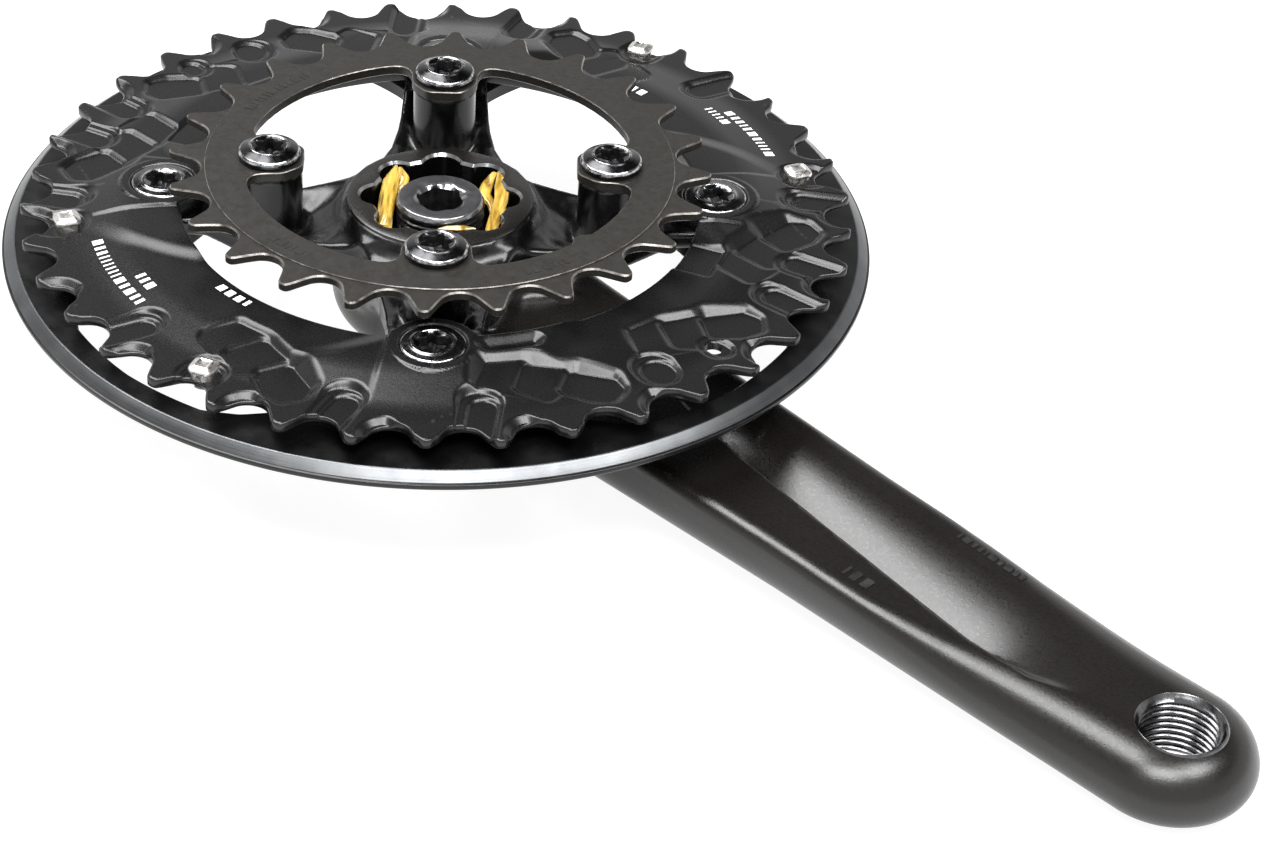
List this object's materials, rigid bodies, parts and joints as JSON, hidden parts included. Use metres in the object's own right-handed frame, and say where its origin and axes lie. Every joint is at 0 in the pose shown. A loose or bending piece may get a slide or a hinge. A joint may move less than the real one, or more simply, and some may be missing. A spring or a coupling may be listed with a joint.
{
  "type": "bicycle crankset, drive side",
  "caption": "Drive-side crank arm with a four-leg spider, outer and inner chainrings, a guard ring and a captive spindle bolt.",
  "frame": {"origin": "centre of the spindle socket's mouth, in the plane of the hub's inboard face", "axes": "+Z along the spindle axis towards the bicycle frame (inboard), +X along the crank arm towards the pedal hole, +Y completes a right-handed frame"},
  "size_m": [0.2709, 0.1638, 0.0442],
  "materials": {
    "arm_paint": "satin black paint with a fine orange peel",
    "outer_ring_black": "black anodised, satin, with machined facets",
    "inner_ring_coat": "dark grey-brown coat with a fine pebble texture",
    "guard_black": "black, low gloss",
    "ring_bolt_chrome": "dark chrome, polished",
    "inner_bolt_chrome": "dark chrome with bright rims",
    "nut_black": "black oxide steel, satin",
    "bare_metal": "bare turned metal",
    "bolt_black": "black oxide steel, oiled",
    "cap_black": "black anodised, satin",
    "grease_amber": "wet translucent amber grease"
  },
  "bodies": {
    "crankset": {"crank_arm": "arm_paint", "chainring_outer": "outer_ring_black", "chainring_inner": "inner_ring_coat", "bash_guard": "guard_black", "ring_bolt_1": "ring_bolt_chrome", "ring_bolt_2": "ring_bolt_chrome", "ring_bolt_3": "ring_bolt_chrome", "ring_bolt_4": "ring_bolt_chrome", "sleeve_nut_1": "nut_black", "sleeve_nut_2": "nut_black", "sleeve_nut_3": "nut_black", "sleeve_nut_4": "nut_black", "inner_bolt_1": "inner_bolt_chrome", "inner_bolt_2": "inner_bolt_chrome", "inner_bolt_3": "inner_bolt_chrome", "inner_bolt_4": "inner_bolt_chrome", "shift_pin_1": "bare_metal", "shift_pin_2": "bare_metal", "shift_pin_3": "bare_metal", "shift_pin_4": "bare_metal", "extractor_cap": "cap_black", "spline_grease": "grease_amber"},
    "washer": {"bolt_washer": "bare_metal"},
    "spindle_bolt": {"crank_bolt": "bolt_black"}
  },
  "joints": [
    {"name": "bolt_float", "type": "slide", "parent": "crankset", "child": "washer", "axis": [0, 0, 1], "range_m": [0, 0.001]},
    {"name": "bolt_spin", "type": "hinge", "parent": "washer", "child": "spindle_bolt", "pos_m": [0, 0, -0.01], "axis": [0, 0, 1], "continuous": true}
  ]
}
